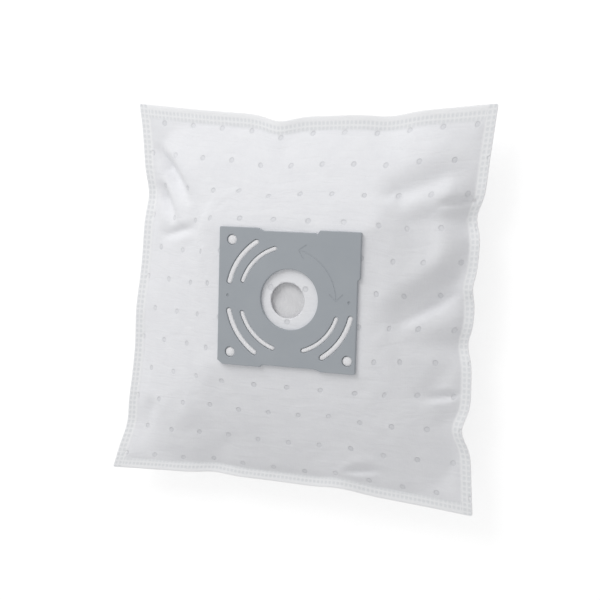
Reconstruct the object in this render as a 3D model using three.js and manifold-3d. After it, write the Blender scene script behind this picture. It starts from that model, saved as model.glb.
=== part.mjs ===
// A disposable vacuum cleaner dust bag, lying on its back, in millimetres with +Z up.
// Two panels of bonded nonwoven are welded together round their edge and puffed out with
// air. A moulded collar plate is bonded over the round inlet in the front panel.
// X runs to the right across the plate and Y towards the bag's top edge. The origin is at
// the middle of the overall box, on the surface that the bag lies on.
import * as THREE from 'three';
import { mergeVertices } from 'three/addons/utils/BufferGeometryUtils.js';
import Module from 'manifold-3d';

const wasm = await Module();
wasm.setup();

// The bag: cut size of the flat panels, their fabric and the weld's width on each side
const bagWidth = 310;
const bagLength = 302;
const fabric = 1;
const seamLeft = 10;
const seamRight = 9;
const seamTop = 12;
const seamBottom = 9.5;
const weldGap = 0.3;
const inletDiameter = 26.5;

// The puffed shape: the seam's height over the surface, the rise from the seam to the seat of
// the plate, and the patch that the back lies on. The shoulders say how round each panel turns
// down to the seam, and the corners stay flatter, as ears.
const seamHeight = 26;
const seatRise = 28;
const restWidth = 124;
const restLength = 116;
const frontShoulder = 1.7;
const backShoulder = 1.8;
const earSquareness = 5;
const earLift = 0.3;
const seatMargin = 3;
const seatRound = 10;
const seatSpread = 12;

// The collar plate
const plateWidth = 110;
const plateLength = 103;
const plateThickness = 2.8;
const plateClearance = 0.3;
const plateEdge = 0.35;
const plateCorner = 1.2;
const plateX = 5;
const plateY = 4;
const holeDiameter = 45;
const holeOffset = 1.1;

// Recesses in the plate's edges, which key it into the cleaner's holder
const topRecessFrom = -24.7;
const topRecessTo = 23.8;
const topRecessDepth = 2;
const nickDepth = 1.3;
const nickWidth = 4;
const bottomRecessFrom = -20.6;
const bottomRecessTo = 27;
const bottomRecessDepth = 1.7;
const recessRamp = 4.5;
const sideStepDepth = 1.8;
const sideStepY = 16.5;
const cutCornerX = 4;
const cutCornerY = 3;

// Openings through the plate, placed about the middle of its hole. The corner holes and the
// outer slots keep their distance to the plate's edges, and the inner slots to the outer ones.
const cornerHoleDiameter = 8;
const cornerHoleInsetX = 9;
const cornerHoleInsetY = 9.5;
const outerSlotInset = 6.2;
const outerSlotWidth = 4.4;
const outerSlotStart = 13;
const outerSlotEnd = 57;
const slotPitch = 10.1;
const innerSlotWidth = 3.7;
const innerSlotStart = 18;
const innerSlotEnd = 72;

// The turning arrow engraved in the plate's fourth quarter, and two round dimples
const arrowInset = 1.3;
const arrowStart = 1.5;
const arrowEnd = 79;
const arrowLine = 0.9;
const arrowDepth = 0.5;
const arrowHead = 7.2;
const arrowSpread = 46;
const dimpleDiameter = 2.2;
const dimpleDepth = 0.5;
const dimpleInset = 7.6;
const dimpleY = 0.6;

// How finely the round shapes and the cloth are divided
const clothCells = 34;
const gridCrowding = 0.45;
const roundSteps = 56;
const smallRoundSteps = 20;
const slotSteps = 14;
const capSteps = 6;
const normalStep = 1e-3;
const weldSlack = 1e-9;

// The corners of the puffed bag, each drawn in from the flat panel's corner by x and y
const corners = {
  topLeft: cornerPoint(-1, 1, 20, 4),
  topRight: cornerPoint(1, 1, 7, 2),
  bottomRight: cornerPoint(1, -1, 13, 1),
  bottomLeft: cornerPoint(-1, -1, 0, 5),
};

// Each side bows inwards between its corners and has pinches where the seam buckles.
// A pinch has its place along the side from 0 to 1, depth, half width and lift.
const sides = {
  left: {
    from: corners.bottomLeft, to: corners.topLeft, inwards: [1, 0],
    bow: 12.5, flatness: 3, curl: 0,
    pinches: [
      { at: 0.13, depth: 1.5, width: 0.05, lift: -2 },
      { at: 0.45, depth: -1, width: 0.08, lift: 2 },
      { at: 0.76, depth: 2, width: 0.05, lift: -3 },
    ],
  },
  right: {
    from: corners.bottomRight, to: corners.topRight, inwards: [-1, 0],
    bow: 8, flatness: 2, curl: 4,
    pinches: [
      { at: 0.21, depth: 6, width: 0.04, lift: 3 },
      { at: 0.42, depth: 4, width: 0.035, lift: -3 },
      { at: 0.56, depth: 2, width: 0.03, lift: 2 },
      { at: 0.73, depth: 5, width: 0.035, lift: -4 },
    ],
  },
  top: {
    from: corners.topLeft, to: corners.topRight, inwards: [0, -1],
    bow: 9.5, flatness: 1.5, curl: 0,
    pinches: [
      { at: 0.42, depth: 4.5, width: 0.05, lift: 3 },
      { at: 0.72, depth: 2.5, width: 0.06, lift: -2 },
    ],
  },
  bottom: {
    from: corners.bottomLeft, to: corners.bottomRight, inwards: [0, 1],
    bow: 6.5, flatness: 1.8, curl: 0,
    pinches: [
      { at: 0.3, depth: 1.5, width: 0.05, lift: -2 },
      { at: 0.66, depth: 3, width: 0.06, lift: 4 },
    ],
  },
};

// Valleys that run in from the seam, as shares of the half width and half length from the
// bag's middle. Each takes a share of the local rise, within a half width in millimetres, and
// fades towards its inner end.
const foldFade = 0.6;
const frontFolds = [
  { from: [-0.75, 0.78], to: [-0.54, 0.41], share: 0.26, width: 9 },
  { from: [-0.8, 0.53], to: [-0.63, 0.36], share: 0.3, width: 7 },
  { from: [0.92, 0.76], to: [0.49, 0.57], share: 0.3, width: 12 },
  { from: [0.88, 0.42], to: [0.48, -0.11], share: 0.28, width: 13 },
  { from: [0.87, -0.35], to: [0.66, -0.44], share: 0.4, width: 9 },
  { from: [0.79, -0.55], to: [0.88, -0.84], share: 0.3, width: 9 },
  { from: [0.4, -0.88], to: [0.35, -0.7], share: 0.35, width: 9 },
  { from: [-0.08, 0.88], to: [-0.05, 0.72], share: 0.3, width: 9 },
  { from: [-0.86, -0.89], to: [-0.45, -0.83], share: 0.35, width: 8 },
];
const backFolds = [
  { from: [-0.8, 0.6], to: [-0.55, 0.45], share: 0.3, width: 10 },
  { from: [0.86, 0.3], to: [0.6, 0.2], share: 0.35, width: 10 },
  { from: [0.84, -0.5], to: [0.58, -0.52], share: 0.3, width: 10 },
  { from: [-0.2, -0.86], to: [-0.15, -0.62], share: 0.35, width: 9 },
  { from: [0.3, 0.86], to: [0.25, 0.62], share: 0.3, width: 10 },
];

const nonwoven = new THREE.MeshStandardMaterial({ color: 0xe9eaee, roughness: 0.9, metalness: 0 });
const backNonwoven = new THREE.MeshStandardMaterial({ color: 0xe4e6ea, roughness: 0.9, metalness: 0 });
const greyPlastic = new THREE.MeshStandardMaterial({ color: 0xa0a5aa, roughness: 0.55, metalness: 0 });

// Each panel's middle surface lies this far above or below the welded face
const weldOffset = weldGap / 2;
const seatHeight = seamHeight + seatRise;
const plateBase = seatHeight + weldOffset + fabric + plateClearance;
const holeX = plateX + holeOffset;
const cornerHoleX = plateWidth / 2 - cornerHoleInsetX;
const cornerHoleY = plateLength / 2 - cornerHoleInsetY;
const outerSlotRadius = plateWidth / 2 - outerSlotInset;
const innerSlotRadius = outerSlotRadius - slotPitch;
const arrowRadius = innerSlotRadius - arrowInset;
const dimpleX = plateWidth / 2 - dimpleInset;

// Where the weld ends inwards on each side, as shares of the flat panel
const weldLine = {
  left: seamLeft / bagWidth,
  right: 1 - seamRight / bagWidth,
  bottom: seamBottom / bagLength,
  top: 1 - seamTop / bagLength,
};

// The flat patches: the seat of the plate on the front, and what the back lies on
const seatPatch = {
  x: plateX,
  y: plateY,
  halfX: plateWidth / 2 - seatSpread,
  halfY: plateLength / 2 - seatSpread,
};
const restPatch = { x: 0, y: 0, halfX: restWidth / 2, halfY: restLength / 2 };

function cornerPoint(sideX, sideY, inX, inY) {
  return new THREE.Vector3(sideX * (bagWidth / 2 - inX), sideY * (bagLength / 2 - inY), seamHeight);
}

// A point on one side of the outline, with t from 0 to 1 along it
function sidePoint(side, t) {
  const point = side.from.clone().lerp(side.to, t);
  let inwards = side.bow * (1 - Math.abs(2 * t - 1) ** side.flatness);
  for (const pinch of side.pinches) {
    const nearness = Math.exp(-(((t - pinch.at) / pinch.width) ** 2));
    inwards += pinch.depth * nearness;
    point.z += pinch.lift * nearness;
  }
  point.x += side.inwards[0] * inwards;
  point.y += side.inwards[1] * inwards;
  return point;
}

// The surface spanned by the four sides of the seam, u to the right and v to the top
function seamSurface(u, v) {
  const { topLeft, topRight, bottomRight, bottomLeft } = corners;
  const point = new THREE.Vector3()
    .addScaledVector(sidePoint(sides.bottom, u), 1 - v)
    .addScaledVector(sidePoint(sides.top, u), v)
    .addScaledVector(sidePoint(sides.left, v), 1 - u)
    .addScaledVector(sidePoint(sides.right, v), u)
    .addScaledVector(bottomLeft, -(1 - u) * (1 - v))
    .addScaledVector(bottomRight, -u * (1 - v))
    .addScaledVector(topLeft, -(1 - u) * v)
    .addScaledVector(topRight, -u * v);
  const intoBand = THREE.MathUtils.clamp(1 - (1 - u) * bagWidth / seamRight, 0, 1);
  point.z += sides.right.curl * intoBand * Math.sin(Math.PI * v);
  return point;
}

function inWeld(u, v) {
  return u < weldLine.left + weldSlack || u > weldLine.right - weldSlack
    || v < weldLine.bottom + weldSlack || v > weldLine.top - weldSlack;
}

// How far a place lies on the way from a flat patch's edge out to the weld, from 0 to 1
function wayOut(place, middle, half, low, high) {
  const room = (place < middle ? middle - low : high - middle) - half;
  return THREE.MathUtils.clamp((Math.abs(place - middle) - half) / room, 0, 1);
}

// How far a panel stands off the seam at u, v: 1 over its flat patch and 0 in the weld
function puffedShare(u, v, patch, shoulder) {
  if (inWeld(u, v)) return 0;
  const { x, y } = seamSurface(u, v);
  const lowX = seamSurface(weldLine.left, v).x;
  const highX = seamSurface(weldLine.right, v).x;
  const lowY = seamSurface(u, weldLine.bottom).y;
  const highY = seamSurface(u, weldLine.top).y;
  const across = wayOut(x, patch.x, patch.halfX, lowX, highX);
  const along = wayOut(y, patch.y, patch.halfY, lowY, highY);
  const out = (across ** earSquareness + along ** earSquareness) ** (1 / earSquareness);
  return Math.max(1 - out ** shoulder, earLift * (1 - Math.max(across, along)));
}

// What the folds leave of the rise at a place on the panel
function foldShare(folds, point) {
  let share = 1;
  for (const fold of folds) {
    const from = new THREE.Vector2(fold.from[0] * bagWidth / 2, fold.from[1] * bagLength / 2);
    const to = new THREE.Vector2(fold.to[0] * bagWidth / 2, fold.to[1] * bagLength / 2);
    const run = to.clone().sub(from);
    const place = new THREE.Vector2(point.x, point.y).sub(from);
    const t = THREE.MathUtils.clamp(place.dot(run) / run.lengthSq(), 0, 1);
    const distance = place.sub(run.multiplyScalar(t)).length();
    share *= 1 - fold.share * (1 - foldFade * t) * Math.exp(-((distance / fold.width) ** 2));
  }
  return share;
}

// Distance from a place to the footprint of the plate, zero below the plate
function distanceFromPlate(point) {
  const beyondX = Math.max(Math.abs(point.x - plateX) - plateWidth / 2, 0);
  const beyondY = Math.max(Math.abs(point.y - plateY) - plateLength / 2, 0);
  return Math.hypot(beyondX, beyondY);
}

// The front panel rises to a flat seat below the plate and falls away round it
function frontSurface(u, v) {
  const point = seamSurface(u, v);
  const share = puffedShare(u, v, seatPatch, frontShoulder) * foldShare(frontFolds, point);
  const puffed = THREE.MathUtils.lerp(point.z, seatHeight, share);
  const rounded = THREE.MathUtils.clamp((distanceFromPlate(point) - seatMargin) / seatRound, 0, 1);
  point.z = THREE.MathUtils.lerp(seatHeight, puffed, rounded * (2 - rounded));
  return point;
}

// The back panel sags from the seam and lies flat on the surface below it
function backSurface(u, v) {
  const point = seamSurface(u, v);
  const share = puffedShare(u, v, restPatch, backShoulder) * foldShare(backFolds, point);
  point.z = THREE.MathUtils.lerp(point.z, weldOffset + fabric, share);
  return point;
}

// Places of the grid lines across one direction: one cell of weld at each edge, and closer
// lines near the seam, where the cloth turns down
function gridLines(weldLow, weldHigh) {
  const inner = clothCells - 2;
  const lines = [0];
  for (let i = 0; i <= inner; i += 1) {
    const even = i / inner;
    const crowded = (1 - Math.cos(Math.PI * even)) / 2;
    const place = THREE.MathUtils.lerp(even, crowded, gridCrowding);
    lines.push(THREE.MathUtils.lerp(weldLow, weldHigh, place));
  }
  lines.push(1);
  return lines;
}

// The direction square to a panel. The weld stays flat up to the line where the panels part.
function surfaceNormal(panelSurface, u, v) {
  const surface = inWeld(u, v) ? seamSurface : panelSurface;
  const low = (value) => Math.max(value - normalStep, 0);
  const high = (value) => Math.min(value + normalStep, 1);
  const alongU = surface(high(u), v).sub(surface(low(u), v));
  const alongV = surface(u, high(v)).sub(surface(u, low(v)));
  return alongU.cross(alongV).normalize();
}

// A sheet of even thickness, from one face to the other, measured along the surface's normal
function sheetGeometry(surface, lowOffset, highOffset) {
  const columns = gridLines(weldLine.left, weldLine.right);
  const rows = gridLines(weldLine.bottom, weldLine.top);
  const count = clothCells + 1;
  const positions = [];
  for (const offset of [lowOffset, highOffset]) {
    for (const v of rows) {
      for (const u of columns) {
        const point = surface(u, v).addScaledVector(surfaceNormal(surface, u, v), offset);
        positions.push(point.x, point.y, point.z);
      }
    }
  }
  const low = (i, j) => j * count + i;
  const high = (i, j) => count * count + j * count + i;
  const triangles = [];
  for (let j = 0; j < clothCells; j += 1) {
    for (let i = 0; i < clothCells; i += 1) {
      triangles.push(high(i, j), high(i + 1, j), high(i + 1, j + 1));
      triangles.push(high(i, j), high(i + 1, j + 1), high(i, j + 1));
      triangles.push(low(i, j), low(i + 1, j + 1), low(i + 1, j));
      triangles.push(low(i, j), low(i, j + 1), low(i + 1, j + 1));
    }
  }
  const wall = (a, b, c, d) => triangles.push(a, b, c, a, c, d);
  for (let k = 0; k < clothCells; k += 1) {
    wall(low(k, 0), low(k + 1, 0), high(k + 1, 0), high(k, 0));
    wall(low(k + 1, clothCells), low(k, clothCells), high(k, clothCells), high(k + 1, clothCells));
    wall(low(0, k + 1), low(0, k), high(0, k), high(0, k + 1));
    wall(low(clothCells, k), low(clothCells, k + 1), high(clothCells, k + 1), high(clothCells, k));
  }
  const geometry = new THREE.BufferGeometry();
  geometry.setAttribute('position', new THREE.Float32BufferAttribute(positions, 3));
  geometry.setIndex(triangles);
  return geometry;
}

function toSolid(geometry) {
  const bare = geometry.clone();
  bare.deleteAttribute('normal');
  bare.deleteAttribute('uv');
  const merged = mergeVertices(bare, 1e-4);
  return new wasm.Manifold(new wasm.Mesh({
    numProp: 3,
    vertProperties: new Float32Array(merged.attributes.position.array),
    triVerts: new Uint32Array(merged.index.array),
  }));
}

function toGeometry(solid) {
  const mesh = solid.getMesh();
  const geometry = new THREE.BufferGeometry();
  geometry.setAttribute('position', new THREE.Float32BufferAttribute(mesh.vertProperties, 3));
  geometry.setIndex(Array.from(mesh.triVerts));
  geometry.computeVertexNormals();
  return geometry;
}

// An upright round bar, standing on the height given
function uprightBar(diameter, length, x, y, base, steps) {
  const bar = new THREE.CylinderGeometry(diameter / 2, diameter / 2, length, steps);
  bar.rotateX(Math.PI / 2);
  bar.translate(x, y, base + length / 2);
  return bar;
}

function frontPanelGeometry() {
  const sheet = toSolid(sheetGeometry(frontSurface, weldOffset, weldOffset + fabric));
  const reach = 4 * fabric;
  const base = seatHeight - reach;
  const inlet = toSolid(uprightBar(inletDiameter, 2 * reach, holeX, plateY, base, roundSteps));
  return toGeometry(sheet.subtract(inlet));
}

function backPanelGeometry() {
  return toGeometry(toSolid(sheetGeometry(backSurface, -weldOffset - fabric, -weldOffset)));
}

// The plate's outline, anticlockwise from its bottom left corner, about the plate's middle
function plateOutline() {
  const right = plateWidth / 2;
  const top = plateLength / 2;
  const lowRight = right - sideStepDepth;
  const recessTop = top - topRecessDepth;
  const recessBottom = -top + bottomRecessDepth;
  const round = plateCorner;
  const quarter = Math.PI / 2;
  const outline = new THREE.Shape();
  outline.moveTo(-right + cutCornerX, -top);
  outline.lineTo(bottomRecessFrom, -top);
  outline.lineTo(bottomRecessFrom + bottomRecessDepth, recessBottom);
  outline.lineTo(bottomRecessTo - recessRamp, recessBottom);
  outline.lineTo(bottomRecessTo, -top);
  outline.absarc(lowRight - round, -top + round, round, -quarter, 0, false);
  outline.lineTo(lowRight, sideStepY);
  outline.lineTo(right, sideStepY + sideStepDepth);
  outline.absarc(right - round, top - round, round, 0, quarter, false);
  outline.lineTo(topRecessTo, top);
  outline.lineTo(topRecessTo - nickWidth / 2, recessTop - nickDepth);
  outline.lineTo(topRecessTo - nickWidth, recessTop);
  outline.lineTo(topRecessFrom + recessRamp, recessTop);
  outline.lineTo(topRecessFrom, top);
  outline.absarc(-right + round, top - round, round, quarter, 2 * quarter, false);
  outline.lineTo(-right, -top + cutCornerY);
  outline.closePath();
  return outline;
}

function circlePoints(x, y, radius, steps) {
  const points = [];
  for (let i = 0; i < steps; i += 1) {
    const angle = 2 * Math.PI * i / steps;
    points.push(new THREE.Vector2(x + radius * Math.cos(angle), y + radius * Math.sin(angle)));
  }
  return points;
}

function arcPoints(x, y, radius, from, to, steps) {
  const points = [];
  for (let i = 0; i <= steps; i += 1) {
    const angle = THREE.MathUtils.degToRad(THREE.MathUtils.lerp(from, to, i / steps));
    points.push(new THREE.Vector2(x + radius * Math.cos(angle), y + radius * Math.sin(angle)));
  }
  return points;
}

// The outline of a curved slot with round ends, about the middle of the hole
function slotPoints(radius, width, from, to, steps) {
  const half = width / 2;
  const [start, end] = arcPoints(holeOffset, 0, radius, from, to, 1);
  return [
    ...arcPoints(holeOffset, 0, radius + half, from, to, steps),
    ...arcPoints(end.x, end.y, half, to, to + 180, capSteps).slice(1, -1),
    ...arcPoints(holeOffset, 0, radius - half, to, from, steps),
    ...arcPoints(start.x, start.y, half, from + 180, from + 360, capSteps).slice(1, -1),
  ];
}

// The slots of the quarter that starts at an angle; a mirrored quarter runs the other way
function quarterSlots(start, mirrored) {
  const turn = (angle) => (mirrored ? start + 90 - angle : start + angle);
  const slot = (radius, width, from, to) => {
    const low = Math.min(turn(from), turn(to));
    const high = Math.max(turn(from), turn(to));
    return slotPoints(radius, width, low, high, slotSteps);
  };
  return [
    slot(outerSlotRadius, outerSlotWidth, outerSlotStart, outerSlotEnd),
    slot(innerSlotRadius, innerSlotWidth, innerSlotStart, innerSlotEnd),
  ];
}

// The engraved arrow: a thin curved line with an open head at each end
function arrowCutters() {
  const spread = THREE.MathUtils.degToRad(arrowSpread);
  const middle = (arrowRadius * Math.PI) / 180;
  const shorten = arrowLine / middle;
  const line = slotPoints(arrowRadius, arrowLine, arrowStart + shorten, arrowEnd - shorten, slotSteps);
  const cutters = [new THREE.Shape(line)];
  for (const [angle, backwards] of [[arrowStart, 1], [arrowEnd, -1]]) {
    const [tip] = arcPoints(holeOffset, 0, arrowRadius, angle, angle, 1);
    const along = THREE.MathUtils.degToRad(angle) + backwards * Math.PI / 2;
    for (const side of [-spread, spread]) {
      const reach = new THREE.Vector2(arrowHead, 0).rotateAround(new THREE.Vector2(), along + side);
      const across = new THREE.Vector2(-reach.y, reach.x).setLength(arrowLine / 2);
      const end = tip.clone().add(reach);
      cutters.push(new THREE.Shape([
        tip.clone().sub(across),
        end.clone().sub(across),
        end.clone().add(across),
        tip.clone().add(across),
      ]));
    }
  }
  return cutters;
}

function collarPlateGeometry() {
  const outline = plateOutline();
  outline.holes.push(new THREE.Path(circlePoints(holeOffset, 0, holeDiameter / 2, roundSteps)));
  for (const [x, y] of [[-cornerHoleX, cornerHoleY], [-cornerHoleX, -cornerHoleY], [cornerHoleX, -cornerHoleY]]) {
    const hole = circlePoints(holeOffset + x, y, cornerHoleDiameter / 2, smallRoundSteps);
    outline.holes.push(new THREE.Path(hole));
  }
  for (const [start, mirrored] of [[90, true], [180, false], [270, true]]) {
    for (const slot of quarterSlots(start, mirrored)) outline.holes.push(new THREE.Path(slot));
  }
  const plate = new THREE.ExtrudeGeometry(outline, {
    depth: plateThickness - 2 * plateEdge,
    curveSegments: capSteps,
    bevelEnabled: true,
    bevelSegments: 1,
    bevelSize: plateEdge,
    bevelOffset: -plateEdge,
    bevelThickness: plateEdge,
  });
  plate.translate(0, 0, plateEdge);
  let solid = toSolid(plate);
  for (const shape of arrowCutters()) {
    const cutter = new THREE.ExtrudeGeometry(shape, { depth: 2 * arrowDepth, bevelEnabled: false });
    cutter.translate(0, 0, plateThickness - arrowDepth);
    solid = solid.subtract(toSolid(cutter));
  }
  for (const x of [-dimpleX, dimpleX]) {
    const floor = plateThickness - dimpleDepth;
    const dimple = uprightBar(dimpleDiameter, 2 * dimpleDepth, x, dimpleY, floor, smallRoundSteps);
    solid = solid.subtract(toSolid(dimple));
  }
  const geometry = toGeometry(solid);
  geometry.translate(plateX, plateY, plateBase);
  return geometry;
}

function namedMesh(name, geometry, material) {
  const mesh = new THREE.Mesh(geometry, material);
  mesh.name = name;
  return mesh;
}

const bag = new THREE.Group();
bag.add(namedMesh('front_panel', frontPanelGeometry(), nonwoven));
bag.add(namedMesh('back_panel', backPanelGeometry(), backNonwoven));
bag.add(namedMesh('collar_plate', collarPlateGeometry(), greyPlastic));

// The panels' corners and pinches are not symmetric, so the bag is set over the origin last
const box = new THREE.Box3().setFromObject(bag);
const middle = box.getCenter(new THREE.Vector3());
bag.position.set(-middle.x, -middle.y, -box.min.z);

export default bag;
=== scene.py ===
import math

import bmesh
import bpy
import numpy as np
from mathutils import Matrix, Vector


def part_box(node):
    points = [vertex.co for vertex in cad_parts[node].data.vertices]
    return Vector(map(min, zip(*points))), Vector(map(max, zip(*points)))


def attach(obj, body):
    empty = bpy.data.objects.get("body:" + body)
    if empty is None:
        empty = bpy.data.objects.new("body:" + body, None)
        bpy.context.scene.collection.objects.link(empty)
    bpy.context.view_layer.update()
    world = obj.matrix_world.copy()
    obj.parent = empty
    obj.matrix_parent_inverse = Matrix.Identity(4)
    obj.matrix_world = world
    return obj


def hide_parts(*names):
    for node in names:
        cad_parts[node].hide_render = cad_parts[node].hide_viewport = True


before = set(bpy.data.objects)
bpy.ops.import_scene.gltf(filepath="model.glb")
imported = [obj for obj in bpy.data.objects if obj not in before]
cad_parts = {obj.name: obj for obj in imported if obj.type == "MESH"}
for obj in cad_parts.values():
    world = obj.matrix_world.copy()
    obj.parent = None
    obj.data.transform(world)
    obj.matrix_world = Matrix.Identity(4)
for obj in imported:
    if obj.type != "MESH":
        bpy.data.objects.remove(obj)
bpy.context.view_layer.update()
bpy.ops.object.select_all(action="DESELECT")

# The cut of the two panels
# Each panel is a rectangle of white laminated nonwoven. The two are laid together and welded
# all round by a wheel that presses two rows of small cells, at its own distance on each side.
PANEL_WIDTH = 0.310
PANEL_LENGTH = 0.302
CLOTH = 0.0009
PITCH_ACROSS = 0.00345
PITCH_ALONG = 0.00405

# Rows of each side's weld from the cut edge inwards: where a row ends, and whether it is pressed
WELD_ROWS = {
    "left": ((0.0039, True), (0.0078, True), (0.0100, False)),
    "right": ((0.0038, True), (0.0076, True), (0.0090, False)),
    "top": ((0.0038, False), (0.0079, True), (0.0120, True)),
    "bottom": ((0.0024, False), (0.0059, True), (0.0094, True)),
}
WELD = {side: rows[-1][0] for side, rows in WELD_ROWS.items()}


def cut_lines(length, low, high, pitch):
    """Lines of a panel's grid across one direction, and which rows of cells are weld or pressed."""
    low_rows, high_rows = WELD_ROWS[low], WELD_ROWS[high]
    start = -length / 2 + WELD[low]
    end = length / 2 - WELD[high]
    cells = round((end - start) / pitch)
    lines = [-length / 2] + [-length / 2 + edge for edge, _ in low_rows[:-1]]
    lines += list(np.linspace(start, end, cells + 1))
    lines += [length / 2 - edge for edge, _ in high_rows[-2::-1]] + [length / 2]
    low_pressed = [row[1] for row in low_rows]
    high_pressed = [row[1] for row in reversed(high_rows)]
    pressed = low_pressed + [False] * cells + high_pressed
    weld = [True] * len(low_rows) + [False] * cells + [True] * len(high_rows)
    return np.array(lines), np.array(weld), np.array(pressed)


LINES_X, WELD_X, PRESSED_X = cut_lines(PANEL_WIDTH, "left", "right", PITCH_ACROSS)
LINES_Y, WELD_Y, PRESSED_Y = cut_lines(PANEL_LENGTH, "bottom", "top", PITCH_ALONG)


def vertex_places(mesh):
    """The places of a mesh's vertices, one row each."""
    co = np.empty(len(mesh.vertices) * 3, np.float32)
    mesh.vertices.foreach_get("co", co)
    return co.reshape(-1, 3)


def flat_panel(name):
    """A flat panel, whose places on the cut are kept as a UV map in metres, and those places."""
    cells_x, cells_y = len(LINES_X) - 1, len(LINES_Y) - 1
    bpy.ops.mesh.primitive_grid_add(x_subdivisions=cells_x, y_subdivisions=cells_y, size=1)
    panel = bpy.context.object
    panel.name = panel.data.name = name
    co = vertex_places(panel.data).astype(float)
    column = np.rint((co[:, 0] + 0.5) * cells_x).astype(int)
    row = np.rint((co[:, 1] + 0.5) * cells_y).astype(int)
    co[:, 0], co[:, 1] = LINES_X[column], LINES_Y[row]
    loops = np.empty(len(panel.data.loops), np.int32)
    panel.data.loops.foreach_get("vertex_index", loops)
    panel.data.uv_layers[0].name = "cut"
    panel.data.uv_layers[0].data.foreach_set("uv", co[loops, :2].astype(np.float32).ravel())
    corners = loops.reshape(-1, 4)
    face_x, face_y = column[corners].min(1), row[corners].min(1)
    weld = WELD_X[face_x] | WELD_Y[face_y]
    pressed = weld & (PRESSED_X[face_x] | PRESSED_Y[face_y])
    for label, flags in (("weld", weld), ("pressed_cell", pressed)):
        layer = panel.data.attributes.new(label, "INT", "FACE")
        layer.data.foreach_set("value", flags.astype(np.int32))
    return panel, co


# The puffed shape that the cloth starts from
# The bag is puffed out with air and lies on its back. The plate holds its seat flat, the seam
# bows in between the corners, and folds run in from where the seam is pinched.
SEAM_HEIGHT = 0.026
BAG_TO_PLATE_X = 0.005
BAG_TO_PLATE_Y = 0.004
plate_low, plate_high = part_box("collar_plate")
PLATE_THICKNESS = 0.0028
PLATE_BASE = plate_high.z - PLATE_THICKNESS
PLATE_X = (plate_low.x + plate_high.x) / 2
PLATE_Y = (plate_low.y + plate_high.y) / 2
PLATE_HALF_X = (plate_high.x - plate_low.x) / 2
PLATE_HALF_Y = (plate_high.y - plate_low.y) / 2
BAG_X = PLATE_X - BAG_TO_PLATE_X
BAG_Y = PLATE_Y - BAG_TO_PLATE_Y

# The seat below the plate, how far from it the cloth has turned down, and how far it is pulled
BOND_GAP = 0.0001
SEAT_HEIGHT = PLATE_BASE - CLOTH - BOND_GAP
SEAT_ROUND = 0.010
SEAT_SPREAD = 0.012
SEAT_FADE = 0.045

# The flat patch that the back lies on, and how round each panel turns down to the seam
REST_GAP = 0.0002
REST_HEIGHT = CLOTH + REST_GAP
REST_HALF_X = 0.062
REST_HALF_Y = 0.058
FRONT_SHOULDER = 1.7
BACK_SHOULDER = 1.8

# The bag's corners stand out as ears: how square they are, and how far they puff up
EAR_SQUARENESS = 5
EAR_LIFT = 0.3

# Corners of the puffed bag, drawn in from the corners of the cut
CORNERS = {
    "top_left": (-PANEL_WIDTH / 2 + 0.020, PANEL_LENGTH / 2 - 0.004),
    "top_right": (PANEL_WIDTH / 2 - 0.007, PANEL_LENGTH / 2 - 0.002),
    "bottom_right": (PANEL_WIDTH / 2 - 0.013, -PANEL_LENGTH / 2 + 0.001),
    "bottom_left": (-PANEL_WIDTH / 2, -PANEL_LENGTH / 2 + 0.005),
}

# How each side bows in, and where its seam is pinched: place, depth, half width, lift
LEFT = dict(ends=("bottom_left", "top_left"), inwards=(1, 0), bow=0.0125, flat=3,
            pinches=((0.13, 0.0015, 0.05, -0.002), (0.45, -0.001, 0.08, 0.002),
                     (0.76, 0.002, 0.05, -0.003)))
RIGHT = dict(ends=("bottom_right", "top_right"), inwards=(-1, 0), bow=0.008, flat=2,
             pinches=((0.21, 0.006, 0.04, 0.003), (0.42, 0.004, 0.035, -0.003),
                      (0.56, 0.002, 0.03, 0.002), (0.73, 0.005, 0.035, -0.004)))
TOP = dict(ends=("top_left", "top_right"), inwards=(0, -1), bow=0.0095, flat=1.5,
           pinches=((0.42, 0.0045, 0.05, 0.003), (0.72, 0.0025, 0.06, -0.002)))
BOTTOM = dict(ends=("bottom_left", "bottom_right"), inwards=(0, 1), bow=0.0065, flat=1.8,
              pinches=((0.3, 0.0015, 0.05, -0.002), (0.66, 0.003, 0.06, 0.004)))

# Folds about the bag's middle: from the seam inwards, depth (a ridge is negative), and half
# width to the left and to the right of the way inwards
FRONT_FOLDS = (
    ((-0.121, 0.118), (-0.084, 0.075), 0.0045, 0.0060, 0.0050),
    ((-0.119, -0.092), (-0.137, -0.134), 0.0045, 0.0070, 0.0060),
    ((-0.122, 0.092), (-0.098, 0.058), 0.0040, 0.0050, 0.0045),
    ((-0.106, 0.046), (-0.072, 0.053), 0.0030, 0.0060, 0.0060),
    ((0.084, 0.083), (0.142, 0.108), 0.0075, 0.0120, 0.0070),
    ((0.143, 0.082), (0.110, 0.077), 0.0055, 0.0035, 0.0075),
    ((0.136, 0.066), (0.128, 0.016), 0.0050, 0.0050, 0.0110),
    ((0.120, 0.080), (0.117, 0.020), -0.0060, 0.0090, 0.0120),
    ((0.128, 0.044), (0.078, 0.008), -0.0060, 0.0090, 0.0110),
    ((0.140, 0.026), (0.078, -0.010), 0.0150, 0.0105, 0.0150),
    ((0.138, -0.030), (0.104, -0.060), 0.0050, 0.0060, 0.0100),
    ((0.138, -0.060), (0.102, -0.064), 0.0055, 0.0035, 0.0080),
    ((0.123, -0.083), (0.137, -0.128), 0.0055, 0.0080, 0.0080),
    ((0.040, -0.136), (0.078, -0.125), 0.0050, 0.0055, 0.0055),
    ((-0.135, -0.134), (-0.046, -0.128), 0.0040, 0.0080, 0.0040),
    ((-0.013, 0.135), (-0.008, 0.108), 0.0038, 0.0065, 0.0065),
    ((0.079, 0.139), (0.074, 0.118), 0.0035, 0.0065, 0.0065),
)
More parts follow.
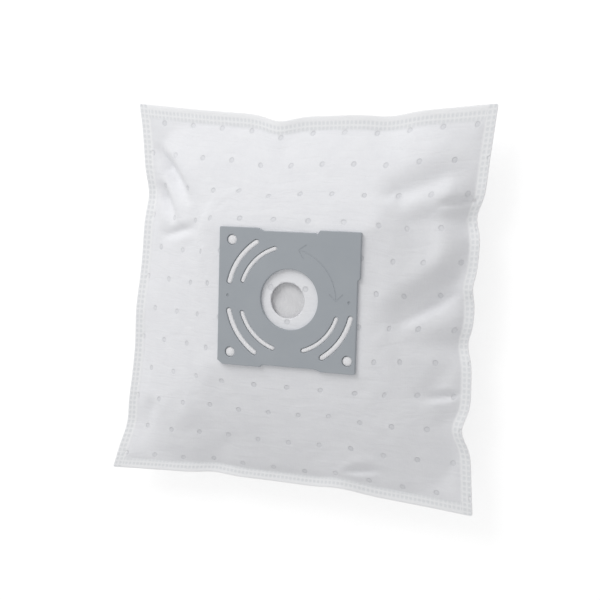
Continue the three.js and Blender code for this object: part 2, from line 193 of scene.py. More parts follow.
BACK_FOLDS = (
    ((-0.120, 0.090), (-0.085, 0.068), 0.0060, 0.0090, 0.0090),
    ((0.130, 0.045), (0.092, 0.030), 0.0060, 0.0090, 0.0090),
    ((0.126, -0.075), (0.088, -0.078), 0.0050, 0.0090, 0.0090),
    ((-0.030, -0.128), (-0.024, -0.094), 0.0050, 0.0080, 0.0080),
    ((0.046, 0.128), (0.038, 0.094), 0.0050, 0.0090, 0.0090),
)
FOLD_FADE = 0.8


def side_line(side, t):
    """Points of the puffed bag's edge at shares t of one side."""
    start, end = (np.array((*CORNERS[name], SEAM_HEIGHT)) for name in side["ends"])
    line = start + np.multiply.outer(t, end - start)
    inwards = side["bow"] * (1 - np.abs(2 * t - 1) ** side["flat"])
    for place, depth, width, lift in side["pinches"]:
        nearness = np.exp(-(((t - place) / width) ** 2))
        inwards = inwards + depth * nearness
        line[..., 2] += lift * nearness
    line[..., 0] += side["inwards"][0] * inwards
    line[..., 1] += side["inwards"][1] * inwards
    return line


def seam_surface(cut):
    """The surface that the bag's edge spans, at points of the flat cut."""
    u = cut[:, 0] / PANEL_WIDTH + 0.5
    v = cut[:, 1] / PANEL_LENGTH + 0.5
    corner = {name: np.array((*place, SEAM_HEIGHT)) for name, place in CORNERS.items()}
    u3, v3 = u[:, None], v[:, None]
    return (side_line(BOTTOM, u) * (1 - v3) + side_line(TOP, u) * v3
            + side_line(LEFT, v) * (1 - u3) + side_line(RIGHT, v) * u3
            - corner["bottom_left"] * (1 - u3) * (1 - v3) - corner["bottom_right"] * u3 * (1 - v3)
            - corner["top_left"] * (1 - u3) * v3 - corner["top_right"] * u3 * v3)


def way_out(place, middle, half, low, high):
    """How far places lie on the way from a flat patch's edge to the weld, from 0 to 1."""
    room = np.where(place < middle, middle - low, high - middle) - half
    return np.clip((np.abs(place - middle) - half) / room, 0, 1)


def puffed_share(cut, place, patch, shoulder):
    """How far a panel stands off the seam there: 1 over its flat patch and 0 at the weld."""
    middle_x, middle_y, half_x, half_y = patch
    at_weld = {}
    for side, axis, line in (("left", 0, WELD["left"] - PANEL_WIDTH / 2),
                             ("right", 0, PANEL_WIDTH / 2 - WELD["right"]),
                             ("bottom", 1, WELD["bottom"] - PANEL_LENGTH / 2),
                             ("top", 1, PANEL_LENGTH / 2 - WELD["top"])):
        edge = cut.copy()
        edge[:, axis] = line
        at_weld[side] = seam_surface(edge)[:, axis]
    across = way_out(place[:, 0], middle_x, half_x, at_weld["left"], at_weld["right"])
    along = way_out(place[:, 1], middle_y, half_y, at_weld["bottom"], at_weld["top"])
    out = (across ** EAR_SQUARENESS + along ** EAR_SQUARENESS) ** (1 / EAR_SQUARENESS)
    return np.maximum(1 - out ** shoulder, EAR_LIFT * (1 - np.maximum(across, along)))


def along_fold(place, start, end, left_width, right_width):
    """How far places lie along a fold, from 0 to 1, and how many half widths beside it."""
    start = np.array(start) + (BAG_X, BAG_Y)
    run = np.array(end) + (BAG_X, BAG_Y) - start
    offset = place[:, :2] - start
    t = np.clip(offset @ run / (run @ run), 0, 1)
    is_left = run[0] * offset[:, 1] - run[1] * offset[:, 0] > 0
    return t, np.hypot(*(offset - t[:, None] * run).T) / np.where(is_left, left_width, right_width)


def fold_depth(folds, place):
    """Depth of the folds below the puffed surface, and how near each point is to a fold."""
    depth = np.zeros(len(place))
    near = np.zeros(len(place))
    for start, end, deep, left_width, right_width in folds:
        t, beside = along_fold(place, start, end, left_width, right_width)
        nearness = np.exp(-beside ** 2) * (1 - FOLD_FADE * t)
        depth += deep * nearness
        near = np.maximum(near, nearness)
    return depth, near


# A fold fades out at the plate and at the weld, and has its whole depth a little way off
FOLD_CLEAR = 0.012
FOLD_RISE = 3

# How firmly the cloth is held in its starting shape while it settles: the plate's seat and the
# tips of the corners wholly, the weld and the folds in part
SEAM_HOLD = 0.7
FOLD_HOLD = 0.9
LEAST_HOLD = 0.05
CORNER_TIP = 0.014


def choose(*pieces):
    """Selects these pieces alone, with the first as the active one."""
    bpy.ops.object.select_all(action="DESELECT")
    for piece in pieces:
        piece.select_set(True)
    bpy.context.view_layer.objects.active = pieces[0]


def blown_up(name, is_front):
    """A panel set to its starting shape. The back has no weld here, as the front brings it."""
    panel, cut = flat_panel(name)
    place = seam_surface(cut)
    depth, near = fold_depth(FRONT_FOLDS if is_front else BACK_FOLDS, place + (BAG_X, BAG_Y, 0))
    if is_front:
        seat_patch = (BAG_TO_PLATE_X, BAG_TO_PLATE_Y,
                      PLATE_HALF_X - SEAT_SPREAD, PLATE_HALF_Y - SEAT_SPREAD)
        share = puffed_share(cut, place, seat_patch, FRONT_SHOULDER)
        flat_height, inwards = SEAT_HEIGHT, -1
    else:
        rest_patch = (0, 0, REST_HALF_X, REST_HALF_Y)
        share = puffed_share(cut, place, rest_patch, BACK_SHOULDER)
        flat_height, inwards = REST_HEIGHT, 1
    place[:, 2] += (flat_height - place[:, 2]) * share
    place += (BAG_X, BAG_Y, 0)

    # Under the plate the cloth lies flat as cut, and it falls away from there
    bonded = cut[:, :2] + (BAG_X, BAG_Y)
    beyond = np.hypot(np.maximum(np.abs(bonded[:, 0] - PLATE_X) - PLATE_HALF_X, 0),
                      np.maximum(np.abs(bonded[:, 1] - PLATE_Y) - PLATE_HALF_Y, 0))
    seat = (beyond == 0) & is_front
    if is_front:
        fallen = np.clip(beyond / SEAT_FADE, 0, 1)
        fallen = fallen * fallen * (3 - 2 * fallen)
        place[:, :2] = bonded + (place[:, :2] - bonded) * fallen[:, None]
        depth *= np.minimum(beyond / FOLD_CLEAR, 1)
        rounded = np.clip(beyond / SEAT_ROUND, 0, 1)
        place[:, 2] = SEAT_HEIGHT + (place[:, 2] - SEAT_HEIGHT) * rounded * (2 - rounded)
    place[:, 2] += inwards * depth * np.minimum(share * FOLD_RISE, 1)
    place[:, 2] = np.maximum(place[:, 2], REST_HEIGHT)
    place[seat, 2] = SEAT_HEIGHT
    panel.data.vertices.foreach_set("co", place.astype(np.float32).ravel())
    panel.data.update()

    hold = near * FOLD_HOLD * (share > 0)
    edge_x = PANEL_WIDTH / 2 - np.abs(cut[:, 0])
    edge_y = PANEL_LENGTH / 2 - np.abs(cut[:, 1])
    hold[share == 0] = SEAM_HOLD
    hold[np.maximum(edge_x, edge_y) < CORNER_TIP] = 1
    hold[seat] = 1
    group = panel.vertex_groups.new(name="hold")
    for index in np.flatnonzero(hold > LEAST_HOLD):
        group.add([int(index)], float(hold[index]), "REPLACE")
    if not is_front:
        mesh = bmesh.new()
        mesh.from_mesh(panel.data)
        weld = mesh.faces.layers.int["weld"]
        bmesh.ops.delete(mesh, geom=[face for face in mesh.faces if face[weld]], context="FACES")
        bmesh.ops.reverse_faces(mesh, faces=mesh.faces)
        mesh.to_mesh(panel.data)
        mesh.free()
    side = panel.data.attributes.new("is_front", "INT", "FACE")
    side.data.foreach_set("value", [int(is_front)] * len(panel.data.polygons))
    return panel


front = blown_up("front_cloth", True)
back = blown_up("back_cloth", False)
choose(front, back)
bpy.ops.object.join()
bag = bpy.context.object
bag.name = bag.data.name = "bag_cloth"
mesh = bmesh.new()
mesh.from_mesh(bag.data)
bmesh.ops.remove_doubles(mesh, verts=mesh.verts, dist=1e-6)
mesh.to_mesh(bag.data)
mesh.free()

# Settling the cloth
# The cloth remembers its flat cut, so what the puffed shape has too much of buckles. Air
# presses it outwards, the plate holds the seat, and the table carries the back.
bag.shape_key_add(name="Basis", from_mix=False)
flat_key = bag.shape_key_add(name="flat", from_mix=False)
cut_layer = bag.data.uv_layers["cut"].data
for loop in bag.data.loops:
    x, y = cut_layer[loop.index].uv
    flat_key.data[loop.vertex_index].co = (x + BAG_X, y + BAG_Y, SEAM_HEIGHT)
flat_key.value = 0

# The cloth stops short of the table by the table's own skin
TABLE_TOP = -0.0011
TABLE_SKIN = 0.001
bpy.ops.mesh.primitive_plane_add(size=1, location=(0, 0, TABLE_TOP))
table = bpy.context.object
table.modifiers.new("Collision", "COLLISION")
table.collision.thickness_outer = TABLE_SKIN
table.collision.cloth_friction = 5

FRAMES = 24
cloth = bag.modifiers.new("Cloth", "CLOTH")
settings = cloth.settings
settings.rest_shape_key = flat_key
settings.vertex_group_mass = "hold"
settings.pin_stiffness = 30
settings.quality = 6
settings.mass = 0.02
settings.air_damping = 3
settings.tension_stiffness = 20
settings.compression_stiffness = 20
settings.shear_stiffness = 8
settings.bending_stiffness = 0.3
settings.bending_damping = 1
settings.use_pressure = True
settings.uniform_pressure_force = 0.5
settings.effector_weights.gravity = 0
cloth.collision_settings.use_collision = True
cloth.collision_settings.distance_min = TABLE_SKIN
cloth.collision_settings.use_self_collision = False
cloth.point_cache.frame_end = FRAMES
for step in range(1, FRAMES + 1):
    bpy.context.scene.frame_set(step)
settled = bpy.data.meshes.new_from_object(bag.evaluated_get(bpy.context.evaluated_depsgraph_get()))
bpy.data.objects.remove(bag)
bpy.data.objects.remove(table)
bpy.context.scene.frame_set(1)

# Front and back cloth
# After welding, each panel is a sheet 0.9 mm thick that thins to a film in the weld. The
# weld's cells are pressed in from both sides, and bonding pins leave small round dots.
WELD_THINNED = 0.45
CELL_RIM = 0.00060
CELL_DEPTH = 0.00017
CELL_LEAST_AREA = 2.5e-6

# The sheet's thickness stands a tenth outside the settled cloth, so the panels stay apart
WALL_OFFSET = 1.1
OUTER, INNER = 0, 1

# Sharp creases where the laminate has kinked: line, depth, and half width to each side. A kink
# opens out from a narrow start, and the cloth beside it rises into a low ridge.
FRONT_CREASES = (
    ((-0.120, 0.117), (-0.080, 0.069), 0.0062, 0.0042, 0.0066),
    ((-0.114, 0.089), (-0.096, 0.054), 0.0046, 0.0031, 0.0048),
    ((-0.110, 0.044), (-0.073, 0.054), 0.0025, 0.0032, 0.0028),
    ((0.138, 0.081), (0.108, 0.076), 0.0027, 0.0022, 0.0026),
    ((0.131, 0.017), (0.084, -0.012), 0.0020, 0.0026, 0.0034),
    ((0.133, -0.060), (0.104, -0.064), 0.0027, 0.0022, 0.0026),
    ((0.041, -0.126), (0.074, -0.122), 0.0030, 0.0036, 0.0022),
)
BACK_CREASES = (
    ((-0.122, 0.092), (-0.090, 0.070), 0.0036, 0.0022, 0.0026),
    ((0.132, 0.046), (0.098, 0.032), 0.0036, 0.0022, 0.0026),
    ((0.128, -0.075), (0.094, -0.078), 0.0034, 0.0022, 0.0026),
)
KINK_RIDGE = 0.2
KINK_RIDGE_PLACE = 2.2
KINK_START_WIDTH = 0.45
KINK_OPENS = 2.6
KINK_OPENING = 1.3
KINK_CLOSES = 2.5


def kink_depth(place, start, end, deep, left_width, right_width):
    """How far the cloth sinks at each place for one sharp crease."""
    t, beside = along_fold(place, start, end, left_width, right_width)
    opened = np.minimum(KINK_OPENS * t, 1)
    beside = beside / (KINK_START_WIDTH + (1 - KINK_START_WIDTH) * opened)
    kink = np.exp(-beside ** 2) - KINK_RIDGE * np.exp(-((beside - KINK_RIDGE_PLACE) ** 2))
    ends = opened ** KINK_OPENING * np.minimum(KINK_CLOSES * (1 - t), 1)
    return deep * kink * ends


def panel_of(name, is_front):
    """One panel of the settled bag, as a closed sheet with its pressed weld cells."""
    panel = bpy.data.objects.new(name, settled.copy())
    panel.data.name = name
    bpy.context.scene.collection.objects.link(panel)
    panel.vertex_groups.clear()
    panel.vertex_groups.new(name="thickness")
    mesh = bmesh.new()
    mesh.from_mesh(panel.data)
    weld = mesh.faces.layers.int["weld"]
    side = mesh.faces.layers.int["is_front"]
    others = [face for face in mesh.faces if bool(face[side]) != is_front and not face[weld]]
    bmesh.ops.delete(mesh, geom=others, context="FACES")
    if not is_front:
        bmesh.ops.reverse_faces(mesh, faces=[face for face in mesh.faces if face[weld]])
    thick = mesh.verts.layers.deform.verify()
    band = mesh.verts.layers.float.new("weld_band")
    for vert in mesh.verts:
        thin = any(face[weld] for face in vert.link_faces)
        vert[thick].clear()
        vert[thick][0] = WELD_THINNED if thin else 1.0
        vert[band] = float(all(face[weld] for face in vert.link_faces))
    mesh.to_mesh(panel.data)
    mesh.free()
    choose(panel)
    for _ in range(2):
        panel.data.materials.append(None)
    wall = panel.modifiers.new("Thickness", "SOLIDIFY")
    wall.thickness = CLOTH
    wall.offset = WALL_OFFSET
    wall.vertex_group = "thickness"
    wall.thickness_vertex_group = 0
    wall.material_offset = 1
    bpy.ops.object.modifier_apply(modifier=wall.name)

    # A rim face takes its flags from its neighbour, so only faces that lie in the weld count
    mesh = bmesh.new()
    mesh.from_mesh(panel.data)
    cell = mesh.faces.layers.int["pressed_cell"]
    dent = mesh.verts.layers.float.new("pressed")
    cells = [face for face in mesh.faces if face[cell] and face.material_index == OUTER
             and face.calc_area() > CELL_LEAST_AREA]
    bmesh.ops.inset_individual(mesh, faces=cells, thickness=CELL_RIM, depth=-CELL_DEPTH,
                               use_even_offset=True)
    for face in cells:
        for vert in face.verts:
            vert[dent] = 1.0
    mesh.to_mesh(panel.data)
    mesh.free()
    smooth = panel.modifiers.new("Smooth", "SUBSURF")
    smooth.levels = smooth.render_levels = 1
    bpy.ops.object.modifier_apply(modifier=smooth.name)

    co = vertex_places(panel.data)
    for crease in FRONT_CREASES if is_front else BACK_CREASES:
        co[:, 2] -= kink_depth(co, *crease) * (1 if is_front else -1)
    panel.data.vertices.foreach_set("co", co.ravel())
    bpy.ops.object.shade_smooth()
    return panel


front_cloth = panel_of("front_cloth", True)
back_cloth = panel_of("back_cloth", False)
bpy.data.meshes.remove(settled)

# The inlet is punched through the front only, a little off the middle of the plate's hole
INLET = 0.0265
INLET_OFF = (-0.0019, -0.0010)
HOLE_OFFSET = 0.0011
HOLE_X = PLATE_X + HOLE_OFFSET
PUNCH_HEIGHT = 0.02
inlet_place = (HOLE_X + INLET_OFF[0], PLATE_Y + INLET_OFF[1], SEAT_HEIGHT)
bpy.ops.object.select_all(action="DESELECT")
bpy.ops.mesh.primitive_cylinder_add(vertices=96, radius=INLET / 2, depth=PUNCH_HEIGHT,
                                    location=inlet_place)
punch = bpy.context.object
inlet_cut = front_cloth.modifiers.new("Inlet", "BOOLEAN")
inlet_cut.operation = "DIFFERENCE"
inlet_cut.object = punch
bpy.context.view_layer.objects.active = front_cloth
bpy.ops.object.modifier_apply(modifier=inlet_cut.name)
bpy.data.objects.remove(punch)


def feed(tree, socket, value):
    """Links a socket to another node's output, or sets it to a plain value."""
    if isinstance(value, bpy.types.NodeSocket):
        tree.links.new(value, socket)
    else:
        socket.default_value = value


def node(tree, kind, inputs=None, **settings):
    """A shader node with its settings, and with its sockets linked or set."""
    made = tree.nodes.new("ShaderNode" + kind)
    for label, value in settings.items():
        setattr(made, label, value)
    for socket, value in (inputs or {}).items():
        feed(tree, made.inputs[socket], value)
    return made


def calc(tree, operation, first, second=0.0, third=0.0):
    """The result of a Math node."""
    return node(tree, "Math", {0: first, 1: second, 2: third}, operation=operation).outputs[0]


def noise(tree, place, scale, detail=2.0, roughness=0.5, distortion=0.0):
    """A cloudy grey value over the surface."""
    return node(tree, "TexNoise", {"Vector": place, "Scale": scale, "Detail": detail,
                                   "Roughness": roughness, "Distortion": distortion}).outputs[0]


def ranged(tree, value, low, high, to_low=0.0, to_high=1.0, **settings):
    """A value brought from one range to another, and held inside it."""
    return node(tree, "MapRange", {"Value": value, "From Min": low, "From Max": high,
                                   "To Min": to_low, "To Max": to_high}, **settings).outputs[0]


def color_mix(tree, share, first, second):
    """A colour between two, by a share that changes over the surface."""
    blend = node(tree, "Mix", {"Factor": share}, data_type="RGBA")
    ends = [socket for socket in blend.inputs if socket.type == "RGBA"]
    for socket, value in zip(ends, (first, second)):
        feed(tree, socket, value if isinstance(value, bpy.types.NodeSocket) else (*value, 1))
    return next(socket for socket in blend.outputs if socket.type == "RGBA")


def bump(tree, height, distance, strength, under=None):
    """A normal bent by a height, laid over another bump where there is one."""
    bent = node(tree, "Bump", {"Height": height, "Distance": distance, "Strength": strength})
    if under is not None:
        feed(tree, bent.inputs["Normal"], under)
    return bent.outputs[0]


def new_effect(name, inputs, outputs):
    """An empty node group with named sockets, and its inside ends."""
    tree = bpy.data.node_groups.new(name, "ShaderNodeTree")
    for label, kind, value in inputs:
        socket = tree.interface.new_socket(label, in_out="INPUT", socket_type="NodeSocket" + kind)
        if value is not None:
            socket.default_value = value
    for label, kind in outputs:
        tree.interface.new_socket(label, in_out="OUTPUT", socket_type="NodeSocket" + kind)
    return tree, tree.nodes.new("NodeGroupInput").outputs, tree.nodes.new("NodeGroupOutput").inputs


# How far each lay of fibres is turned and how close its fibres are, and how long they run
FIBRE_LAYS = ((0.25, 1300), (1.35, 1150), (2.35, 1400))
FIBRE_DRAWN = 110
CRINKLE_TURN = 0.12
CRINKLE_SCALE = (38, 190, 1)


def spun_fibres():
    """Spun fibres laid at all angles: a cloudy thickness, fine fibre lines and faint crinkles."""
    tree, given, out = new_effect(
        "spun fibres", (("Place", "Vector", None), ("Fineness", "Float", 1.0)),
        (("Cloud", "Float"), ("Fibre", "Float"), ("Crinkle", "Float")))
    scaled = node(tree, "VectorMath", {0: given["Place"], "Scale": given["Fineness"]},
                  operation="SCALE")
    place = scaled.outputs[0]
    broad = noise(tree, place, 55, detail=3, roughness=0.6)
    close = noise(tree, place, 420, roughness=0.6)
    cloud = calc(tree, "MULTIPLY_ADD", close, 0.35, calc(tree, "MULTIPLY", broad, 0.65))
    tree.links.new(cloud, out["Cloud"])
    lines = None
    for turn, across in FIBRE_LAYS:
        laid = node(tree, "Mapping", {"Vector": place, "Rotation": (0, 0, turn),
                                      "Scale": (across, FIBRE_DRAWN, 1)})
        strand = noise(tree, laid.outputs[0], 1, detail=1, distortion=0.6)
        lines = strand if lines is None else calc(tree, "MAXIMUM", lines, strand)
    tree.links.new(lines, out["Fibre"])
    pulled = node(tree, "Mapping", {"Vector": place, "Rotation": (0, 0, CRINKLE_TURN),
                                    "Scale": CRINKLE_SCALE})
    crinkle = noise(tree, pulled.outputs[0], 1, detail=4, roughness=0.55, distortion=0.8)
    tree.links.new(crinkle, out["Crinkle"])
    return tree


# The laminate's plies are joined by round bond dots in a staggered pattern: the way from dot to
# dot, where two of the rows start, and the middle and half width of each dot's pressed ring
DOT_ACROSS = 0.0273
DOT_ALONG = 0.0500
DOT_ROWS = ((0.0180, 0.0120), (0.0044, 0.0370))
DOT_RADIUS = 0.0018
DOT_GROOVE = 0.0008

# How dark and how deep a dot's ring is, and its flat
RING_DARK = 0.5
FLAT_DARK = 0.5
RING_HEIGHT = -0.35
FLAT_HEIGHT = -0.65


def bond_dots():
    """The bond dots over the cut panel: how dark each spot is, and its height."""
    tree, given, out = new_effect(
        "bond dots", (("Place", "Vector", None),), (("Dot", "Float"), ("Height", "Float")))
    half = (DOT_ACROSS / 2, DOT_ALONG / 2, 1)
    nearest = None
    for start_x, start_y in DOT_ROWS:
        moved = node(tree, "VectorMath", {0: given["Place"], 1: (start_x, start_y, 0)},
                     operation="SUBTRACT")
        wrapped = node(tree, "VectorMath", {0: moved.outputs[0], 1: half,
                                            2: tuple(-edge for edge in half)}, operation="WRAP")
        away = node(tree, "VectorMath", {0: wrapped.outputs[0]}, operation="LENGTH")
        away = away.outputs["Value"]
        nearest = away if nearest is None else calc(tree, "MINIMUM", nearest, away)
    flat = ranged(tree, nearest, DOT_RADIUS + DOT_GROOVE, DOT_RADIUS - DOT_GROOVE,
                  interpolation_type="SMOOTHSTEP")
    off_ring = calc(tree, "ABSOLUTE", calc(tree, "SUBTRACT", nearest, DOT_RADIUS))
    ring = ranged(tree, off_ring, DOT_GROOVE, 0, interpolation_type="SMOOTHSTEP")
    for label, of_ring, of_flat in (("Dot", RING_DARK, FLAT_DARK),
                                    ("Height", RING_HEIGHT, FLAT_HEIGHT)):
        share = calc(tree, "MULTIPLY", flat, of_flat)
        tree.links.new(calc(tree, "MULTIPLY_ADD", ring, of_ring, share), out[label])
    return tree


SPUN_FIBRES = spun_fibres()
BOND_DOTS = bond_dots()


def new_material(name):
    """A new material and its node tree."""
    material = bpy.data.materials.new(name)
    material.use_nodes = True
    return material, material.node_tree


def shade(tree, inputs):
    """Sets or links the sockets of a material's own shader."""
    for socket, value in inputs.items():
        feed(tree, tree.nodes["Principled BSDF"].inputs[socket], value)


# Colours of the cloth where it is thick and thin, in the weld, in its pressed cells and in a dot
FRONT_THICK = (0.88, 0.885, 0.91)
FRONT_THIN = (0.835, 0.84, 0.87)
BACK_THICK = (0.86, 0.865, 0.89)
BACK_THIN = (0.815, 0.82, 0.85)
WELDED = (0.96, 0.965, 0.98)
PRESSED = (0.84, 0.855, 0.875)
DOTTED = (0.62, 0.63, 0.66)
CRINKLE_HEIGHT = 0.0008
FIBRE_HEIGHT = 0.00018
DOT_DEPTH = 0.00045


def nonwoven(name, thick, thin):
    """White bonded nonwoven: cloudy fibres, bond dots, and pressed cells that turn glassy."""
    material, tree = new_material(name)
    place = node(tree, "UVMap", uv_map="cut").outputs["UV"]
    fibres = node(tree, "Group", {"Place": place}, node_tree=SPUN_FIBRES).outputs
    dots = node(tree, "Group", {"Place": place}, node_tree=BOND_DOTS).outputs
    pressed = node(tree, "Attribute", attribute_name="pressed").outputs["Fac"]
    band = node(tree, "Attribute", attribute_name="weld_band").outputs["Fac"]

    # A dot is darker where the cloth is thick, and there is none in the weld
    color = color_mix(tree, ranged(tree, fibres["Cloud"], 0.3, 0.7), thin, thick)
    bonding = ranged(tree, fibres["Cloud"], 0.4, 0.6, to_low=0.4, to_high=0.95)
    off_weld = calc(tree, "SUBTRACT", 1.0, band)
    dot = calc(tree, "MULTIPLY", dots["Dot"], calc(tree, "MULTIPLY", bonding, off_weld))
    color = color_mix(tree, dot, color, DOTTED)
    color = color_mix(tree, band, color, WELDED)
    color = color_mix(tree, pressed, color, PRESSED)

    crinkled = bump(tree, fibres["Crinkle"], CRINKLE_HEIGHT, 0.5)
    fibrous = bump(tree, fibres["Fibre"], FIBRE_HEIGHT, 0.5, under=crinkled)
    shade(tree, {
        "Base Color": color,
        "Roughness": ranged(tree, pressed, 0, 1, to_low=0.86, to_high=0.5),
        "Normal": bump(tree, dots["Height"], DOT_DEPTH, 0.9, under=fibrous),
        "Subsurface Weight": 0.1,
        "Subsurface Radius": (0.0015, 0.0015, 0.0015),
        "Subsurface Scale": 1,
        "Specular IOR Level": 0.3,
        "Sheen Weight": 0.1,
        "Sheen Roughness": 0.5,
    })
    return material


FLEECE_PALE = (0.88, 0.88, 0.905)
FLEECE_WHITE = (0.95, 0.95, 0.97)
FLEECE_SWIRL = (0.012, 0.012, 0.012)
FLEECE_RELIEF = 0.0004


def inner_fleece(name):
    """The soft melt-blown ply inside the bag, with long swirling fibres."""
    material, tree = new_material(name)
    place = node(tree, "TexCoord").outputs["Object"]
    swirl = node(tree, "TexNoise", {"Vector": place, "Scale": 90, "Detail": 1}).outputs["Color"]
    bent = node(tree, "VectorMath", {0: swirl, 1: FLEECE_SWIRL, 2: place}, operation="MULTIPLY_ADD")
    fibres = node(tree, "Group", {"Place": bent.outputs[0], "Fineness": 0.75},
                  node_tree=SPUN_FIBRES).outputs
    cloud = ranged(tree, fibres["Fibre"], 0.45, 0.8)
    shade(tree, {
        "Base Color": color_mix(tree, cloud, FLEECE_PALE, FLEECE_WHITE),
        "Roughness": 0.95,
        "Normal": bump(tree, fibres["Fibre"], FLEECE_RELIEF, 0.6),
        "Subsurface Weight": 0.3,
        "Subsurface Radius": (0.006, 0.006, 0.006),
        "Subsurface Scale": 1,
    })
    return material


FRONT_WHITE = nonwoven("front_nonwoven", FRONT_THICK, FRONT_THIN)
BACK_WHITE = nonwoven("back_nonwoven", BACK_THICK, BACK_THIN)
FLEECE = inner_fleece("inner_fleece")
for piece, outer in ((front_cloth, FRONT_WHITE), (back_cloth, BACK_WHITE)):
    piece.data.materials[OUTER] = outer
    piece.data.materials[INNER] = FLEECE
    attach(piece, "root")
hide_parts("front_panel")
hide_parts("back_panel")

# Loose fleece behind the inlet
# A square of the same soft fleece is tacked inside the front, so that it hangs close behind the
# inlet and spreads the dusty air. Its edges reach up to the front, and its middle bellies down.
FLEECE_SIZE = 0.072
FLEECE_THICK = 0.0006
FLEECE_DROP = 0.0030
FLEECE_WAVE = 0.0004
FLEECE_CELLS = 48
TACK_GAP = 0.0001
bpy.ops.object.select_all(action="DESELECT")
bpy.ops.mesh.primitive_grid_add(x_subdivisions=FLEECE_CELLS, y_subdivisions=FLEECE_CELLS,
                                size=FLEECE_SIZE)
fleece = bpy.context.object
fleece.name = fleece.data.name = "inlet_fleece"
for vert in fleece.data.vertices:
    x, y = vert.co.x, vert.co.y
    inwards = (1 - (2 * x / FLEECE_SIZE) ** 4) * (1 - (2 * y / FLEECE_SIZE) ** 4)
    wave = FLEECE_WAVE * math.sin(230 * x + 90 * y + 2 * math.sin(120 * y)) * inwards
    vert.co.z = -FLEECE_DROP * inwards + wave
    vert.co.x += HOLE_X
    vert.co.y += PLATE_Y
    vert.co.z += SEAT_HEIGHT - TACK_GAP
ply = fleece.modifiers.new("Thickness", "SOLIDIFY")
ply.thickness = FLEECE_THICK
ply.offset = -1
bpy.ops.object.modifier_apply(modifier=ply.name)
bpy.ops.object.shade_smooth()
fleece.data.materials.append(FLEECE)
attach(fleece, "root")

# Collar plate
# The plate is moulded in grey polypropylene and bonded over the inlet. The mould has worn, so
# that its turning arrow is only just engraved. Its satin faces carry a fine mould grain.
PLATE_GREY = (0.360, 0.388, 0.418)
PLATE_RUBBED = (0.430, 0.455, 0.480)

# The arrow lies in a ring round the hole, in the plate's upper right quarter. As first moulded
# its floor was 0.5 mm deep, and the worn one is shallower and a little further in.
ARROW_RADIUS = 0.0374
ARROW_BAND = 0.0062
ARROW_START = -1
ARROW_END = 85
ARROW_INWARDS = 0.0008
MOULDED_DEPTH = 0.0005
WORN_DEPTH = 0.0002
SAME_HEIGHT = 0.0001
cad_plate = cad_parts["collar_plate"]
plate = bpy.data.objects.new("moulded_plate", cad_plate.data.copy())
plate.data.name = "moulded_plate"
plate.data.transform(cad_plate.matrix_world)
bpy.context.scene.collection.objects.link(plate)
mesh = bmesh.new()
mesh.from_mesh(plate.data)
bmesh.ops.remove_doubles(mesh, verts=mesh.verts, dist=1e-6)
for vert in mesh.verts:
    x, y = vert.co.x - HOLE_X, vert.co.y - PLATE_Y
    radius = math.hypot(x, y)
    angle = math.degrees(math.atan2(y, x))
    sunk = plate_high.z - vert.co.z
    in_ring = abs(radius - ARROW_RADIUS) < ARROW_BAND
    if ARROW_START < angle < ARROW_END and in_ring and sunk < MOULDED_DEPTH + SAME_HEIGHT:
        nearer = 1 - ARROW_INWARDS * math.sin(math.radians(90 - angle)) / radius
        vert.co.x, vert.co.y = HOLE_X + x * nearer, PLATE_Y + y * nearer
        if sunk > MOULDED_DEPTH - SAME_HEIGHT:
            vert.co.z = plate_high.z - WORN_DEPTH
mesh.to_mesh(plate.data)
mesh.free()

plastic, tree = new_material("grey_plastic")
place = node(tree, "TexCoord").outputs["Object"]
streaks = noise(tree, place, 35, detail=4, roughness=0.6)
grain = noise(tree, place, 1800)
rubbed = ranged(tree, streaks, 0.35, 0.7, to_high=0.3)
shade(tree, {
    "Base Color": color_mix(tree, rubbed, PLATE_GREY, PLATE_RUBBED),
    "Roughness": ranged(tree, streaks, 0, 1, to_low=0.42, to_high=0.56),
    "Normal": bump(tree, grain, 0.00004, 0.6),
})
plate.data.materials.clear()
plate.data.materials.append(plastic)
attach(plate, "root")
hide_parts("collar_plate")

# Cloth in the plate's openings
# The plate is pressed on while it is bonded, so the soft cloth below it swells up into the
# curved slots and the corner holes, and ends a little below the plate's face.
SWELL = 0.0035
SWELL_GAP = 0.00005
SWELL_ROUND = 0.3
SWELL_LOWEST = -0.1

# Each slot's radius, width and angles; the quarters that have slots, and which are mirrored
SLOTS = ((0.0488, 0.0044, (13, 57)), (0.0387, 0.0037, (18, 72)))
SLOT_QUARTERS = ((90, True), (180, False), (270, True))
CORNER_HOLE = 0.0080
CORNER_HOLE_X = 0.0460
CORNER_HOLE_Y = 0.0420
CORNER_HOLES = ((-1, 1), (-1, -1), (1, -1))
bpy.ops.object.select_all(action="DESELECT")
swells = []


def as_swell(width):
    """Flattens the piece just added onto the cloth, so that only its rounded top shows."""
    piece = bpy.context.object
    for vert in piece.data.vertices:
        height = max(2 * vert.co.z / width, SWELL_LOWEST)
        vert.co.z = SEAT_HEIGHT + SWELL * math.copysign(abs(height) ** SWELL_ROUND, height)
    swells.append(piece)


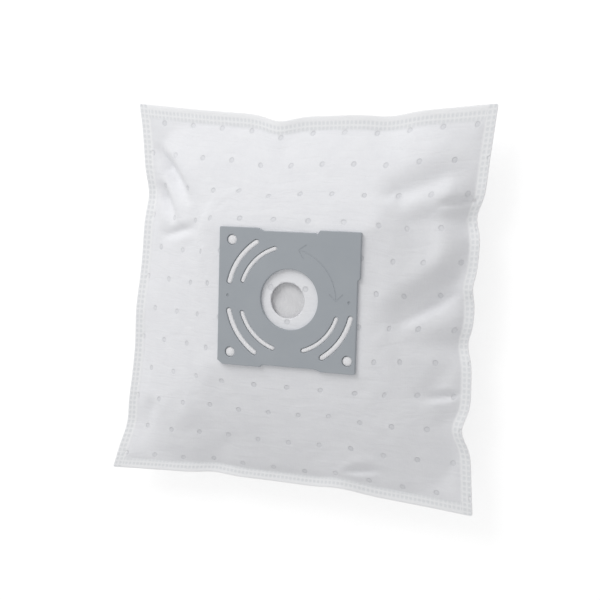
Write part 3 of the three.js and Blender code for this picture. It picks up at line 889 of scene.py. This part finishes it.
for radius, width, (start, end) in SLOTS:
    for quarter, mirrored in SLOT_QUARTERS:
        turned = [quarter + 90 - slot if mirrored else quarter + slot for slot in (start, end)]
        low_angle, high_angle = (math.radians(slot) for slot in sorted(turned))
        half = width / 2 - SWELL_GAP
        straight = radius * (high_angle - low_angle) / 2
        bpy.ops.mesh.primitive_uv_sphere_add(segments=24, ring_count=36, radius=1)
        for vert in bpy.context.object.data.vertices:
            # The ball's poles lie along the slot, and its length is drawn out to the round ends
            x, y, z = vert.co
            along = z * (straight + half)
            end_share = max(abs(along) - straight, 0) / half
            section = half * math.sqrt(max(1 - end_share ** 2, 0))
            angle = (low_angle + high_angle) / 2 + along / radius
            ring = math.hypot(x, y) or 1
            out = radius + section * x / ring
            vert.co = (HOLE_X + out * math.cos(angle), PLATE_Y + out * math.sin(angle),
                       section * y / ring)
        as_swell(2 * half)
for side_x, side_y in CORNER_HOLES:
    inner = CORNER_HOLE - 2 * SWELL_GAP
    bpy.ops.mesh.primitive_uv_sphere_add(segments=32, ring_count=16, radius=inner / 2)
    for vert in bpy.context.object.data.vertices:
        vert.co.x += HOLE_X + side_x * CORNER_HOLE_X
        vert.co.y += PLATE_Y + side_y * CORNER_HOLE_Y
    as_swell(inner)
for piece in swells:
    piece.select_set(True)
bpy.ops.object.join()
swelled = bpy.context.object
swelled.name = swelled.data.name = "swelled_cloth"
bpy.ops.object.mode_set(mode="EDIT")
bpy.ops.mesh.select_all(action="SELECT")
bpy.ops.mesh.normals_make_consistent(inside=False)
bpy.ops.object.mode_set(mode="OBJECT")
bpy.ops.object.shade_smooth()
swelled.data.materials.append(FLEECE)
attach(swelled, "root")

# Floor, light and camera
# A white sheet of paper under a big soft lamp at the upper left. What the camera sees of the
# paper is lit up to white, and it keeps a faint shadow of the bag.
PAPER_SIZE = 6
PAPER_HEIGHT = -0.0002
PAPER_GLOW = 0.7
PAPER_SEEN = (0.45, 0.45, 0.45)
PAPER_WHITE = (0.9, 0.9, 0.9)
STUDIO_LIGHT = 0.595


def looked_at(tree):
    """1 where the camera sees a thing straight, in a gloss or through something clear, else 0."""
    seen = node(tree, "LightPath").outputs
    mirrored = calc(tree, "MAXIMUM", seen["Is Glossy Ray"], seen["Is Transmission Ray"])
    return calc(tree, "MAXIMUM", seen["Is Camera Ray"], mirrored)


bpy.ops.object.select_all(action="DESELECT")
bpy.ops.mesh.primitive_plane_add(size=PAPER_SIZE, location=(0, 0, PAPER_HEIGHT))
floor = bpy.context.object
floor.name = "floor"
paper, tree = new_material("paper")
lit = looked_at(tree)
shade(tree, {
    "Base Color": color_mix(tree, lit, PAPER_WHITE, PAPER_SEEN),
    "Roughness": 1,
    "Specular IOR Level": 0,
    "Emission Color": (1, 1, 1, 1),
    "Emission Strength": calc(tree, "MULTIPLY", lit, PAPER_GLOW),
})
floor.data.materials.append(paper)

# The world is white to the eye, and lights the bag at its own plain level
world = bpy.data.worlds.new("studio")
bpy.context.scene.world = world
world.use_nodes = True
tree = world.node_tree
background = tree.nodes["Background"].inputs
background["Color"].default_value = (1, 1, 1, 1)
level = calc(tree, "MULTIPLY_ADD", looked_at(tree), 1 - STUDIO_LIGHT, STUDIO_LIGHT)
tree.links.new(level, background["Strength"])

WINDOW_PLACE = (-0.75, 1.25, 1.1)
WINDOW_SIZE = 1.0
WINDOW_POWER = 13.6
bpy.ops.object.light_add(type="AREA", location=WINDOW_PLACE)
window = bpy.context.object
window.name = "window"
window.data.size = WINDOW_SIZE
window.data.energy = WINDOW_POWER
window.rotation_euler = (-Vector(WINDOW_PLACE)).to_track_quat("-Z", "Y").to_euler()

CAMERA_PLACE = (0.31567, 0.09900, 0.87457)
CAMERA_TURN = (-5.619, 20.166, 1.641)
bpy.ops.object.camera_add(location=CAMERA_PLACE)
camera = bpy.context.object
camera.rotation_euler = [math.radians(angle) for angle in CAMERA_TURN]
camera.data.lens = 72
camera.data.sensor_width = 36
bpy.context.scene.camera = camera
bpy.context.scene.view_settings.view_transform = "Standard"
